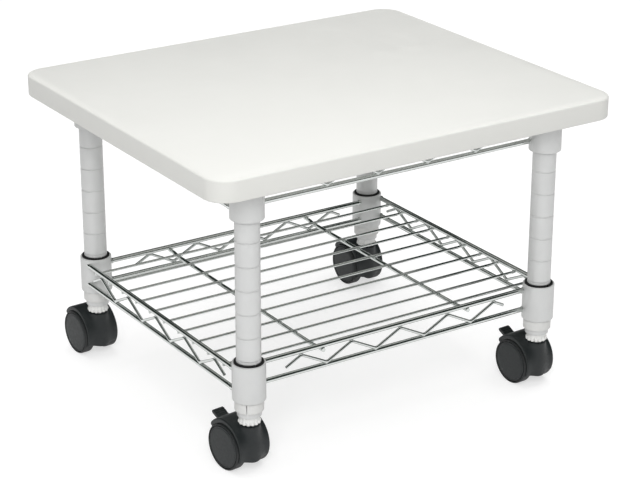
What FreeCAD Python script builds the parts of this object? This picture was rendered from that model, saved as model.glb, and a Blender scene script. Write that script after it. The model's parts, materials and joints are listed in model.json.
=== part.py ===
import FreeCAD, Part
import math
import os

from FreeCAD import Vector

# Mobile printer stand: a laminated top and a wire shelf on four grooved posts with twin-wheel
# casters. Millimetres. X is the stand's length, Y runs from front to rear, Z is up, and the
# origin is on the floor under the middle of the top.

# ---------------------------------------------------------------- driving dimensions
# Table top
TOP_LENGTH = 488.0
TOP_DEPTH = 420.0
TOP_HEIGHT = 335.0
TOP_THICKNESS = 22.8
TOP_CORNER_RADIUS = 25.0
BAND_THICKNESS = 3.0
BAND_TOP_ROUND = 2.2
BAND_BOTTOM_ROUND = 1.2
LAMINATE_THICKNESS = 0.8

# Posts, which are grooved every inch so that the shelves can be set at any groove
POST_X = 184.3
POST_Y = 165.5
POST_RADIUS = 12.7
POST_WALL = 1.2
POST_BOTTOM = 63.2
GROOVE_PITCH = 25.4
GROOVE_WIDTH = 1.8
GROOVE_DEPTH = 0.5
SHELF_GROOVE = 125.5

# Corner collars and the sleeves inside them
COLLAR_RADIUS = 17.3
COLLAR_HEIGHT = 40.5
COLLAR_ROUND = 0.9
SLEEVE_TOP_RADIUS = 15.4
SLEEVE_BOTTOM_RADIUS = 15.9
SLEEVE_PROUD = 1.6
SLEEVE_GAP = 1.4
SHELF_RIM = 121.4
RIM_ABOVE_UNDERSIDE = 3.3
RECESS_RADIUS = 18.3
SUPPORT_RADIUS = 15.0
SUPPORT_HEIGHT = 11.9
SUPPORT_SLIT = 1.3
PLUG_LENGTH = 11.0
PLUG_WALL = 2.5
PLUG_CROWN = 2.0

# Welded wire frames
RAIL_DIAMETER = 5.5
RAIL_DROP = 8.0
RAIL_SPACING = 22.6
LONG_RAIL_Y = 158.5
SHORT_RAIL_X = 197.2
SHORT_SIDE_RISE = 1.0
ZIGZAG_DIAMETER = 3.2
ZIGZAG_PITCH = 61.5
ZIGZAG_OUTSET = 1.6
ZIGZAG_TOP_DROP = 3.7
ZIGZAG_BOTTOM_RISE = 3.2
ZIGZAG_BEND = 6.0
ZIGZAG_STUB = 19.0
ZIGZAG_SHORT_STUB = 12.8
LONG_ZIGZAG_SHIFT = 4.4
MAT_DIAMETER = 3.0
MAT_WIRES = 10
CROSS_DIAMETER = 4.5
CROSS_X = 92.25
CROSS_BEND = 9.0
CROSS_RISE_START = 17.0
CROSS_RISE_END = 7.0
WELD = 0.3

# Clips that hold the top to its wire frame
CLIP_WIDTH = 12.0
CLIP_STRIP = 1.2
CLIP_TAB = 15.0
CLIP_PLAY = 0.1
SCREW_RADIUS = 1.75
SCREW_HEAD_RADIUS = 3.6
SCREW_HEAD_HEIGHT = 2.2
SCREW_HEAD_ROUND = 1.0
SCREW_DEPTH = 14.0
SCREW_TIP = 3.0

# Casters
WHEEL_RADIUS = 25.0
WHEEL_INNER = 10.0
WHEEL_OUTER = 21.0
WHEEL_HUB_RADIUS = 6.5
WHEEL_WEB_INNER = 17.2
WHEEL_WEB_OUTER = 19.2
RIM_THICKNESS = 3.1
COVER_SEAT_DEPTH = 2.4
COVER_PROUD = 0.4
COVER_CHAMFER = 0.5
TREAD_ROUND = 1.2
TRAIL = 17.9
HOOD_INNER_RADIUS = 25.6
HOOD_RADIUS = 28.0
HOOD_SHIFT = 0.7
HOOD_RISE = 2.0
HOOD_HALF_WIDTH = 19.0
HOOD_BACK_ANGLE = 38.0
HOOD_FRONT_ANGLE = 204.0
HOOD_TOP = 52.5
WEB_HALF_WIDTH = 9.0
BOSS_RADIUS = 11.0
BOSS_BOTTOM = 22.0
STEM_RADIUS = 4.0
STEM_TOP = 96.0
STEM_UPPER_RADIUS = 5.5
FLANGE_RADIUS = 8.0
AXLE_RADIUS = 3.0
AXLE_HALF_LENGTH = 18.6
SOCKET_BOTTOM = 54.6
SOCKET_TOP = 90.0
SOCKET_RADIUS = 11.8
SOCKET_LOBES = 14
SOCKET_LOBE_DEPTH = 0.7
SOCKET_NOTCH_RADIUS = 1.5
SOCKET_CHAMFER = 1.5
HOOD_HUB_RADIUS = 8.5
RING_RADIUS = 6.2
RING_THICKNESS = 1.0
RING_SPLIT = 3.2
RING_ROOM = 0.8
STEM_GROOVE_DEPTH = 0.8
STEM_CHAMFER = 0.8
STEM_END = 2.4
LEVER_HALF_WIDTH = 6.7
LEVER_PIVOT_Y = 12.0
LEVER_PIVOT_Z = 12.0
LEVER_LENGTH = 27.0
LEVER_SLOPE = 23.0
LEVER_THICKNESS = 3.2
LEVER_BARREL_RADIUS = 4.2
GRIP_RIBS = 3
GRIP_RIB_PITCH = 2.5
GRIP_RIB_WIDTH = 1.0
GRIP_RIB_HEIGHT = 0.6
GRIP_START = 3.0
LEVER_TIP_ROUND = 1.2
LEVER_EAR_RADIUS = 5.2
LEVER_SLOT = [(6.6, 4.0), (6.6, 17.5), (18.0, 24.5), (50.0, 42.0), (50.0, -12.0), (12.0, -6.0)]
TRUNNION_RADIUS = 2.0
CAM_OUTER = 12.6
BRAKE_CAM_RADIUS = 4.4
BRAKE_CAM_OFFSET = 1.0
RUNNING_GAP = 0.05
BODY_GAP = 0.4

CORNERS = {
    "front_left": (-1, -1),
    "front_right": (1, -1),
    "rear_left": (-1, 1),
    "rear_right": (1, 1),
}
SWIVEL_ANGLE = {"front_left": 6.5, "front_right": 3.0, "rear_left": 3.0, "rear_right": 1.0}
SUPPORT_SLIT_ANGLE = {"front_left": 229.0, "front_right": 60.0, "rear_left": 15.0, "rear_right": 120.0}
BRAKED = ("front_left", "front_right")

# ---------------------------------------------------------------- worked out from them
UNDERSIDE = TOP_HEIGHT - TOP_THICKNESS
TOP_FRAME_RIM = UNDERSIDE + RIM_ABOVE_UNDERSIDE
POST_TOP = TOP_FRAME_RIM
POST_INNER_RADIUS = POST_RADIUS - POST_WALL
RAIL_RADIUS = RAIL_DIAMETER / 2
ZIGZAG_RADIUS = ZIGZAG_DIAMETER / 2

X_AXIS = Vector(1, 0, 0)
Z_AXIS = Vector(0, 0, 1)
ORIGIN = Vector(0, 0, 0)


# ---------------------------------------------------------------- small helpers
def cylinder(radius, length, base=ORIGIN, axis=Z_AXIS):
    return Part.makeCylinder(radius, length, base, axis)


def along_x(radius, half_length, y=0.0, z=0.0):
    """A cylinder on a line parallel to X, centred on the plane x = 0."""
    return cylinder(radius, 2 * half_length, Vector(-half_length, y, z), X_AXIS)


def box(x0, x1, y0, y1, z0, z1):
    return Part.makeBox(x1 - x0, y1 - y0, z1 - z0, Vector(x0, y0, z0))


def polygon_face(points):
    return Part.Face(Part.makePolygon(points + points[:1]))


def turned(profile):
    """A solid of revolution about Z from (radius, height) points."""
    face = polygon_face([Vector(r, 0, z) for r, z in profile])
    return face.revolve(ORIGIN, Z_AXIS, 360)


def turned_on_axle(profile, side):
    """A solid of revolution about the axle from (distance from mid-plane, radius) points."""
    face = polygon_face([Vector(side * s, TRAIL, WHEEL_RADIUS + r) for s, r in profile])
    return face.revolve(Vector(0, TRAIL, WHEEL_RADIUS), X_AXIS, 360)


def side_prism(points, half_width):
    """A prism across the caster from (y, z) points measured from the axle."""
    face = polygon_face([Vector(-half_width, TRAIL + y, WHEEL_RADIUS + z) for y, z in points])
    return face.extrude(Vector(2 * half_width, 0, 0))


def rounded_plate(length, depth, corner, z0, z1):
    """A plate with rounded corners, centred on the Z axis."""
    hx, hy = length / 2, depth / 2
    diagonal = corner * (1 - math.sqrt(0.5))
    edges = []
    for sx, sy in ((1, 1), (-1, 1), (-1, -1), (1, -1)):
        on_side = Vector(sx * hx, sy * (hy - corner), z0)
        on_end = Vector(sx * (hx - corner), sy * hy, z0)
        middle = Vector(sx * (hx - diagonal), sy * (hy - diagonal), z0)
        first, last = (on_side, on_end) if sx == sy else (on_end, on_side)
        edges.append((first, middle, last))
    outline = []
    for index, (first, middle, last) in enumerate(edges):
        outline.append(Part.Arc(first, middle, last).toShape())
        following = edges[(index + 1) % len(edges)][0]
        outline.append(Part.LineSegment(last, following).toShape())
    return Part.Face(Part.Wire(outline)).extrude(Vector(0, 0, z1 - z0))


def edges_at_height(shape, z):
    return [e for e in shape.Edges if all(abs(v.Z - z) < 1e-4 for v in e.Vertexes)]


def rod(diameter, start, end):
    direction = end.sub(start)
    return cylinder(diameter / 2, direction.Length, start, direction)


def bent_wire(diameter, points, bend):
    """A round wire through the points, with an arc of the given radius at each bend."""
    edges = []
    start = points[0]
    for before, corner, after in zip(points, points[1:], points[2:]):
        back = before.sub(corner).normalize()
        ahead = after.sub(corner).normalize()
        turn = math.pi - back.getAngle(ahead)
        tangent = bend * math.tan(turn / 2)
        enter = corner.add(back * tangent)
        leave = corner.add(ahead * tangent)
        bisector = back.add(ahead).normalize()
        middle = corner.add(bisector * (bend / math.cos(turn / 2) - bend))
        edges.append(Part.LineSegment(start, enter).toShape())
        edges.append(Part.Arc(enter, middle, leave).toShape())
        start = leave
    edges.append(Part.LineSegment(start, points[-1]).toShape())
    path = Part.Wire(edges)
    section = Part.Circle(points[0], points[1].sub(points[0]), diameter / 2).toShape()
    return path.makePipeShell([Part.Wire(section)], True, False)


def at_corner(shape, corner):
    """A copy of a shape made round the Z axis, moved to a post."""
    sx, sy = CORNERS[corner]
    moved = shape.copy()
    moved.translate(Vector(sx * POST_X, sy * POST_Y, 0))
    return moved


def at_caster(shape, corner):
    """A copy of a shape made in the caster's own frame, swivelled and moved to its post."""
    turned_shape = shape.copy()
    turned_shape.rotate(ORIGIN, Z_AXIS, SWIVEL_ANGLE[corner])
    return at_corner(turned_shape, corner)


def at_all_corners(shape):
    return Part.makeCompound([at_corner(shape, corner) for corner in CORNERS])


# ---------------------------------------------------------------- table top
def make_edge_band():
    outer = rounded_plate(TOP_LENGTH, TOP_DEPTH, TOP_CORNER_RADIUS, UNDERSIDE, TOP_HEIGHT)
    outer = outer.makeFillet(BAND_TOP_ROUND, edges_at_height(outer, TOP_HEIGHT))
    outer = outer.makeFillet(BAND_BOTTOM_ROUND, edges_at_height(outer, UNDERSIDE))
    return outer.cut(panel_layer(UNDERSIDE, TOP_HEIGHT))


def panel_layer(z0, z1):
    """One layer of the panel, inside the edge band."""
    inset = 2 * BAND_THICKNESS
    corner = TOP_CORNER_RADIUS - BAND_THICKNESS
    return rounded_plate(TOP_LENGTH - inset, TOP_DEPTH - inset, corner, z0, z1)


def clip_places():
    """Where each clip holds the top frame's long rails: (x, side)."""
    return [(sx * CROSS_X, side) for sx in (-1, 1) for side in (-1, 1)]


def screw_y():
    """How far each screw stands inboard of the rail's centre line."""
    return RAIL_RADIUS + CLIP_STRIP + CLIP_TAB / 2


def make_clip():
    """A clip for the front rail at x = 0: a tab under the panel and a hook under the rail."""
    rail_z = TOP_FRAME_RIM - RAIL_DROP
    inner = RAIL_RADIUS + CLIP_PLAY
    outer = inner + CLIP_STRIP
    profile = [
        (outer + CLIP_TAB, UNDERSIDE), (inner, UNDERSIDE), (inner, rail_z - inner),
        (-inner, rail_z - inner), (-inner, rail_z), (-outer, rail_z),
        (-outer, rail_z - outer), (outer, rail_z - outer),
        (outer, UNDERSIDE - CLIP_STRIP), (outer + CLIP_TAB, UNDERSIDE - CLIP_STRIP),
    ]
    face = polygon_face([Vector(-CLIP_WIDTH / 2, y - LONG_RAIL_Y, z) for y, z in profile])
    clip = face.extrude(Vector(CLIP_WIDTH, 0, 0))
    hole_base = Vector(0, screw_y() - LONG_RAIL_Y, UNDERSIDE - 1.5 * CLIP_STRIP)
    return clip.cut(cylinder(SCREW_RADIUS, 2 * CLIP_STRIP, hole_base))


def make_screw():
    """A pan-head screw that goes up through the front clip at x = 0."""
    base = Vector(0, screw_y() - LONG_RAIL_Y, UNDERSIDE - CLIP_STRIP)
    shank = cylinder(SCREW_RADIUS, CLIP_STRIP + SCREW_DEPTH, base)
    shank_end = base.add(Vector(0, 0, CLIP_STRIP + SCREW_DEPTH))
    tip = Part.makeCone(SCREW_RADIUS, SCREW_RADIUS / 4, SCREW_TIP, shank_end)
    head_base = base.sub(Vector(0, 0, SCREW_HEAD_HEIGHT))
    head = cylinder(SCREW_HEAD_RADIUS, SCREW_HEAD_HEIGHT, head_base)
    head = head.makeFillet(SCREW_HEAD_ROUND, edges_at_height(head, head_base.z))
    driver_hole = cylinder(SCREW_RADIUS / 2, SCREW_HEAD_HEIGHT / 2, head_base)
    return head.cut(driver_hole).fuse([shank, tip]).removeSplitter()


def at_clips(shape):
    """Copies of a front-rail shape at every clip, turned round for the rear rail."""
    copies = []
    for x, side in clip_places():
        copy = shape.copy()
        if side > 0:
            copy.rotate(ORIGIN, Z_AXIS, 180)
        copy.translate(Vector(x, 0, 0))
        copies.append(copy)
    return Part.makeCompound(copies)


def make_top():
    screws = at_clips(make_screw())
    recesses = at_all_corners(cylinder(RECESS_RADIUS, RIM_ABOVE_UNDERSIDE, Vector(0, 0, UNDERSIDE)))
    backer = panel_layer(UNDERSIDE, UNDERSIDE + LAMINATE_THICKNESS)
    core = panel_layer(UNDERSIDE + LAMINATE_THICKNESS, TOP_HEIGHT - LAMINATE_THICKNESS)
    return {
        "top_core": core.cut([screws, recesses]),
        "top_laminate": panel_layer(TOP_HEIGHT - LAMINATE_THICKNESS, TOP_HEIGHT),
        "underside_backer": backer.cut([screws, recesses]),
        "edge_band": make_edge_band(),
        "panel_clips": at_clips(make_clip()),
        "panel_clip_screws": screws,
    }


# ---------------------------------------------------------------- welded wire frames
def rail_heights(rim):
    return (rim - RAIL_DROP, rim - RAIL_DROP - RAIL_SPACING)


def coped(rails):
    """Rails whose ends are cut to the round of the collars, less the depth of the weld."""
    collar = cylinder(COLLAR_RADIUS - WELD, TOP_HEIGHT)
    return rails.cut([at_corner(collar, corner) for corner in CORNERS])


def long_rails(rim):
    """Top and bottom rails along X, which meet the collars off centre on the inner side."""
    rails = []
    for y in (-LONG_RAIL_Y, LONG_RAIL_Y):
        for z in rail_heights(rim):
            rails.append(rod(RAIL_DIAMETER, Vector(-POST_X, y, z), Vector(POST_X, y, z)))
    return coped(Part.makeCompound(rails))


def short_rails(rim):
    """Top and bottom rails along Y, which meet the collars off centre on the outer side."""
    rails = []
    for x in (-SHORT_RAIL_X, SHORT_RAIL_X):
        for z in rail_heights(rim + SHORT_SIDE_RISE):
            rails.append(rod(RAIL_DIAMETER, Vector(x, -POST_Y, z), Vector(x, POST_Y, z)))
    return coped(Part.makeCompound(rails))


def zigzag_points(rim, last_stub):
    """(distance along the side, height) of one zigzag, end stub to end stub."""
    top_rail, bottom_rail = rail_heights(rim)
    top = top_rail - ZIGZAG_TOP_DROP
    bottom = bottom_rail + ZIGZAG_BOTTOM_RISE
    half = ZIGZAG_PITCH / 2
    points = [(step * half, top if step % 2 == 0 else bottom) for step in range(-4, 5)]
    fall = (top - bottom) / half
    first = (-2 * ZIGZAG_PITCH - ZIGZAG_STUB, top - fall * ZIGZAG_STUB)
    last = (2 * ZIGZAG_PITCH + last_stub, top - fall * last_stub)
    return [first] + points + [last]


def long_zigzags(rim):
    wires = []
    for side in (-1, 1):
        y = side * (LONG_RAIL_Y + ZIGZAG_OUTSET)
        route = zigzag_points(rim, ZIGZAG_SHORT_STUB)
        points = [Vector(s + LONG_ZIGZAG_SHIFT, y, z) for s, z in route]
        wires.append(bent_wire(ZIGZAG_DIAMETER, points, ZIGZAG_BEND))
    return Part.makeCompound(wires)


def short_zigzags(rim):
    wires = []
    for side in (-1, 1):
        x = side * (SHORT_RAIL_X + ZIGZAG_OUTSET)
        route = zigzag_points(rim + SHORT_SIDE_RISE, ZIGZAG_STUB)
        points = [Vector(x, s, z) for s, z in route]
        wires.append(bent_wire(ZIGZAG_DIAMETER, points, ZIGZAG_BEND))
    return Part.makeCompound(wires)


def mat_z(rim):
    """Centre height of the mat wires, which are welded under the short top rails."""
    return rim + SHORT_SIDE_RISE - RAIL_DROP - RAIL_RADIUS - MAT_DIAMETER / 2 + WELD


def mat_wires(rim):
    """The wires that carry the load, evenly spaced from front to rear."""
    pitch = ZIGZAG_PITCH / 2
    reach = SHORT_RAIL_X + RAIL_RADIUS / 2
    z = mat_z(rim)
    wires = []
    for index in range(MAT_WIRES):
        y = (index - (MAT_WIRES - 1) / 2) * pitch
        wires.append(rod(MAT_DIAMETER, Vector(-reach, y, z), Vector(reach, y, z)))
    return Part.makeCompound(wires)


def cross_wires(rim):
    """Two wires under the mat, bent up at the ends to the underside of the long top rails."""
    low = mat_z(rim) - (MAT_DIAMETER + CROSS_DIAMETER) / 2 + WELD
    high = rim - RAIL_DROP - RAIL_RADIUS - CROSS_DIAMETER / 2 + WELD
    reach = LONG_RAIL_Y + RAIL_RADIUS
    rise_start = LONG_RAIL_Y - CROSS_RISE_START
    rise_end = LONG_RAIL_Y - CROSS_RISE_END
    wires = []
    for side in (-1, 1):
        route = [(-reach, high), (-rise_end, high), (-rise_start, low),
                 (rise_start, low), (rise_end, high), (reach, high)]
        points = [Vector(side * CROSS_X, y, z) for y, z in route]
        wires.append(bent_wire(CROSS_DIAMETER, points, CROSS_BEND))
    return Part.makeCompound(wires)


def make_collar(rim):
    """A tapered socket that wedges down over its sleeve."""
    bottom = rim - COLLAR_HEIGHT
    r = COLLAR_ROUND
    return turned([
        (SLEEVE_TOP_RADIUS, rim), (COLLAR_RADIUS - r, rim), (COLLAR_RADIUS - 0.3 * r, rim - 0.3 * r),
        (COLLAR_RADIUS, rim - r), (COLLAR_RADIUS, bottom + 0.5 * r), (COLLAR_RADIUS - 0.5 * r, bottom),
        (SLEEVE_BOTTOM_RADIUS, bottom),
    ])


def make_sleeve(rim, proud):
    """Both halves of a split sleeve, with the bead that sits in a post groove."""
    top = rim + proud
    bottom = rim - COLLAR_HEIGHT
    bead_z = SHELF_GROOVE + GROOVE_PITCH * round((rim - COLLAR_HEIGHT / 2 - SHELF_GROOVE) / GROOVE_PITCH)
    slope = (SLEEVE_BOTTOM_RADIUS - SLEEVE_TOP_RADIUS) / COLLAR_HEIGHT
    top_radius = SLEEVE_TOP_RADIUS - slope * proud
    crown = 0.4
    body = turned([
        (POST_RADIUS, top), (top_radius - crown, top), (top_radius, top - crown),
        (SLEEVE_BOTTOM_RADIUS, bottom), (POST_RADIUS, bottom),
        (POST_RADIUS, bead_z - GROOVE_WIDTH / 2), (POST_RADIUS - GROOVE_DEPTH, bead_z),
        (POST_RADIUS, bead_z + GROOVE_WIDTH / 2),
    ])
    gap = SLEEVE_GAP / 2
    halves = []
    for side in (-1, 1):
        x0, x1 = sorted((side * gap, side * COLLAR_RADIUS))
        halves.append(body.common(box(x0, x1, -COLLAR_RADIUS, COLLAR_RADIUS, bottom - 1, top + 1)))
    return Part.makeCompound(halves)


def make_wire_frames():
    nodes = {}
    for name, rim in (("top_frame", TOP_FRAME_RIM), ("shelf", SHELF_RIM)):
        nodes[name + "_long_rails"] = long_rails(rim)
        nodes[name + "_short_rails"] = short_rails(rim)
        nodes[name + "_long_zigzags"] = long_zigzags(rim)
        nodes[name + "_short_zigzags"] = short_zigzags(rim)
        nodes[name + "_collars"] = at_all_corners(make_collar(rim))
    nodes["shelf_mat_wires"] = mat_wires(SHELF_RIM)
    nodes["shelf_cross_wires"] = cross_wires(SHELF_RIM)
    nodes["top_frame_sleeves"] = at_all_corners(make_sleeve(TOP_FRAME_RIM, 0.0))
    nodes["shelf_sleeves"] = at_all_corners(make_sleeve(SHELF_RIM, SLEEVE_PROUD))
    return nodes


# ---------------------------------------------------------------- posts
def groove_heights():
    """Every groove that fits on the post."""
    first = math.ceil((POST_BOTTOM + GROOVE_WIDTH - SHELF_GROOVE) / GROOVE_PITCH)
    last = math.floor((POST_TOP - GROOVE_WIDTH - SHELF_GROOVE) / GROOVE_PITCH)
    return [SHELF_GROOVE + step * GROOVE_PITCH for step in range(first, last + 1)]


def make_post():
    outer = [(POST_RADIUS, POST_BOTTOM)]
    for z in groove_heights():
        outer.append((POST_RADIUS, z - GROOVE_WIDTH / 2))
        outer.append((POST_RADIUS - GROOVE_DEPTH, z))
        outer.append((POST_RADIUS, z + GROOVE_WIDTH / 2))
    outer.append((POST_RADIUS, POST_TOP))
    inner = [(POST_INNER_RADIUS, POST_TOP), (POST_INNER_RADIUS, POST_BOTTOM)]
    return turned(outer + inner)


def make_top_plug():
    """A plastic plug in the post's upper end, which the panel rests on."""
    bottom = POST_TOP - PLUG_LENGTH
    bore = POST_INNER_RADIUS - PLUG_WALL
    return turned([
        (0, POST_TOP), (POST_INNER_RADIUS, POST_TOP),
        (POST_INNER_RADIUS, bottom + 1), (POST_INNER_RADIUS - 1, bottom),
        (bore, bottom), (bore, POST_TOP - PLUG_CROWN), (0, POST_TOP - PLUG_CROWN),
    ])


def make_support_ring(slit_angle):
    """A split ring that is clipped round the post under the shelf's collar."""
    top = SHELF_RIM - COLLAR_HEIGHT
    bottom = top - SUPPORT_HEIGHT
    ring = turned([
        (POST_RADIUS, top), (SUPPORT_RADIUS, top), (SUPPORT_RADIUS, bottom + 0.6),
        (SUPPORT_RADIUS - 0.6, bottom), (POST_RADIUS, bottom),
    ])
    slit = box(0, 2 * SUPPORT_RADIUS, -SUPPORT_SLIT / 2, SUPPORT_SLIT / 2, bottom - 1, top + 1)
    slit.rotate(ORIGIN, Z_AXIS, slit_angle)
    return ring.cut(slit)


def make_socket():
    """A nylon socket pressed into the post's foot, with a ribbed collar below it."""
    plug = turned([
        (STEM_UPPER_RADIUS, POST_BOTTOM), (POST_INNER_RADIUS, POST_BOTTOM),
        (POST_INNER_RADIUS, SOCKET_TOP - SOCKET_CHAMFER), (POST_INNER_RADIUS - SOCKET_CHAMFER, SOCKET_TOP),
        (STEM_UPPER_RADIUS, SOCKET_TOP),
    ])
    collar = turned([
        (STEM_UPPER_RADIUS, SOCKET_BOTTOM), (SOCKET_RADIUS - SOCKET_CHAMFER, SOCKET_BOTTOM),
        (SOCKET_RADIUS, SOCKET_BOTTOM + SOCKET_CHAMFER), (SOCKET_RADIUS, POST_BOTTOM),
        (STEM_UPPER_RADIUS, POST_BOTTOM),
    ])
    away = SOCKET_RADIUS + SOCKET_NOTCH_RADIUS - SOCKET_LOBE_DEPTH
    height = POST_BOTTOM - SOCKET_BOTTOM
    notches = []
    for index in range(SOCKET_LOBES):
        angle = 2 * math.pi * index / SOCKET_LOBES
        base = Vector(away * math.cos(angle), away * math.sin(angle), SOCKET_BOTTOM)
        notches.append(cylinder(SOCKET_NOTCH_RADIUS, height, base))
    return collar.cut(notches).fuse(plug).removeSplitter()


def make_posts():
    nodes = {corner + "_post": at_corner(make_post(), corner) for corner in CORNERS}
    nodes["post_top_plugs"] = at_all_corners(make_top_plug())
    rings = [at_corner(make_support_ring(angle), corner) for corner, angle in SUPPORT_SLIT_ANGLE.items()]
    nodes["shelf_support_rings"] = Part.makeCompound(rings)
    nodes["caster_sockets"] = at_all_corners(make_socket())
    return nodes


# ---------------------------------------------------------------- casters
def make_stem():
    """The steel stem: a plain upper end in the socket, a flange, and a pivot in the hood."""
    flange_bottom = HOOD_TOP + BODY_GAP
    neck = STEM_RADIUS - STEM_GROOVE_DEPTH
    groove_top = BOSS_BOTTOM - BODY_GAP
    groove_bottom = groove_top - RING_THICKNESS
    end = groove_bottom - STEM_END
    chamfer = STEM_CHAMFER
    return turned([
        (0, STEM_TOP), (STEM_UPPER_RADIUS - chamfer, STEM_TOP), (STEM_UPPER_RADIUS, STEM_TOP - chamfer),
        (STEM_UPPER_RADIUS, SOCKET_BOTTOM), (FLANGE_RADIUS, SOCKET_BOTTOM), (FLANGE_RADIUS, flange_bottom),
        (STEM_RADIUS, flange_bottom), (STEM_RADIUS, groove_top),
        (neck, groove_top), (neck, groove_bottom), (STEM_RADIUS, groove_bottom),
        (STEM_RADIUS, end + chamfer), (STEM_RADIUS - chamfer, end), (0, end),
    ])


def make_retaining_ring():
    """The split ring in the groove at the stem's lower end."""
    top = BOSS_BOTTOM - BODY_GAP
    bottom = top - RING_THICKNESS
    neck = STEM_RADIUS - STEM_GROOVE_DEPTH
    ring = turned([(neck, top), (RING_RADIUS, top), (RING_RADIUS, bottom), (neck, bottom)])
    return ring.cut(box(0, 2 * RING_RADIUS, -RING_SPLIT / 2, RING_SPLIT / 2, bottom - 1, top + 1))


def sector(angles, reach):
    """(y, z) points, from the axle, of a wedge that spans two angles less than half a turn apart."""
    first, last = angles
    steps = [first + (last - first) * share / 3 for share in range(4)]
    rays = [(reach * math.cos(math.radians(a)), reach * math.sin(math.radians(a))) for a in steps]
    return [(0, 0)] + rays


def make_hood(braked):
    """The moulded hood: a shell over both wheels, a web between them and a boss for the stem."""
    axle_y, axle_z = TRAIL, WHEEL_RADIUS
    sweep = side_prism(sector((HOOD_BACK_ANGLE, HOOD_FRONT_ANGLE), 3 * HOOD_RADIUS), HOOD_HALF_WIDTH)
    wheel_space = along_x(HOOD_INNER_RADIUS, HOOD_HALF_WIDTH + 1, axle_y, axle_z)
    shell = along_x(HOOD_RADIUS, HOOD_HALF_WIDTH, axle_y + HOOD_SHIFT, axle_z + HOOD_RISE)
    shell = shell.common(sweep).cut(wheel_space)
    web = along_x(HOOD_INNER_RADIUS + 0.5, WEB_HALF_WIDTH, axle_y, axle_z).common(sweep)
    hub = along_x(HOOD_HUB_RADIUS, WEB_HALF_WIDTH, axle_y, axle_z)
    boss = cylinder(BOSS_RADIUS, HOOD_TOP - BOSS_BOTTOM, Vector(0, 0, BOSS_BOTTOM))
    beside_web = wheel_space.cut(along_x(HOOD_INNER_RADIUS + 1, WEB_HALF_WIDTH, axle_y, axle_z))
    hood = shell.fuse([web, hub, boss.cut(beside_web)])
    if braked:
        pivot_y, pivot_z = axle_y + LEVER_PIVOT_Y, axle_z + LEVER_PIVOT_Z
        hood = hood.fuse(along_x(LEVER_EAR_RADIUS, WEB_HALF_WIDTH, pivot_y, pivot_z))
        hood = hood.cut(side_prism(LEVER_SLOT, LEVER_HALF_WIDTH + BODY_GAP))
        hood = hood.cut(along_x(TRUNNION_RADIUS + RUNNING_GAP, WEB_HALF_WIDTH + 1, pivot_y, pivot_z))
    stem_bore = cylinder(STEM_RADIUS + RUNNING_GAP, HOOD_TOP, Vector(0, 0, BOSS_BOTTOM - 1))
    ring_space = cylinder(RING_RADIUS + RING_ROOM, BOSS_BOTTOM)
    axle_bore = along_x(AXLE_RADIUS, WEB_HALF_WIDTH + 1, axle_y, axle_z)
    return hood.removeSplitter().cut([stem_bore, ring_space, axle_bore])


def make_axle():
    return along_x(AXLE_RADIUS, AXLE_HALF_LENGTH, TRAIL, WHEEL_RADIUS)


def make_wheel(side):
    """A moulded wheel: rim, web and hub, open towards the hood."""
    bore = AXLE_RADIUS + RUNNING_GAP
    hub_face = WHEEL_INNER - 0.4
    seat = WHEEL_RADIUS - COVER_SEAT_DEPTH
    rim_inside = WHEEL_RADIUS - RIM_THICKNESS
    wheel = turned_on_axle([
        (hub_face, bore), (hub_face, WHEEL_HUB_RADIUS), (WHEEL_WEB_INNER, WHEEL_HUB_RADIUS),
        (WHEEL_WEB_INNER, rim_inside), (WHEEL_INNER, rim_inside), (WHEEL_INNER, WHEEL_RADIUS),
        (WHEEL_OUTER, WHEEL_RADIUS), (WHEEL_OUTER, seat), (WHEEL_WEB_OUTER, seat),
        (WHEEL_WEB_OUTER, bore),
    ], side)
    tread_edges = [
        e for e in wheel.Edges
        if hasattr(e.Curve, "Radius") and abs(e.Curve.Radius - WHEEL_RADIUS) < 1e-6
    ]
    return wheel.makeFillet(TREAD_ROUND, tread_edges)


def make_wheel_cover(side):
    """The slightly domed disc that snaps into the outer face of a wheel."""
    seat = WHEEL_RADIUS - COVER_SEAT_DEPTH
    crown = WHEEL_OUTER + COVER_PROUD
    chamfer = COVER_CHAMFER
    return turned_on_axle([
        (WHEEL_WEB_OUTER, 0), (WHEEL_WEB_OUTER, seat), (WHEEL_OUTER - chamfer, seat),
        (WHEEL_OUTER, seat - chamfer), (crown - COVER_PROUD / 4, seat / 2), (crown, 0),
    ], side)


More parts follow.
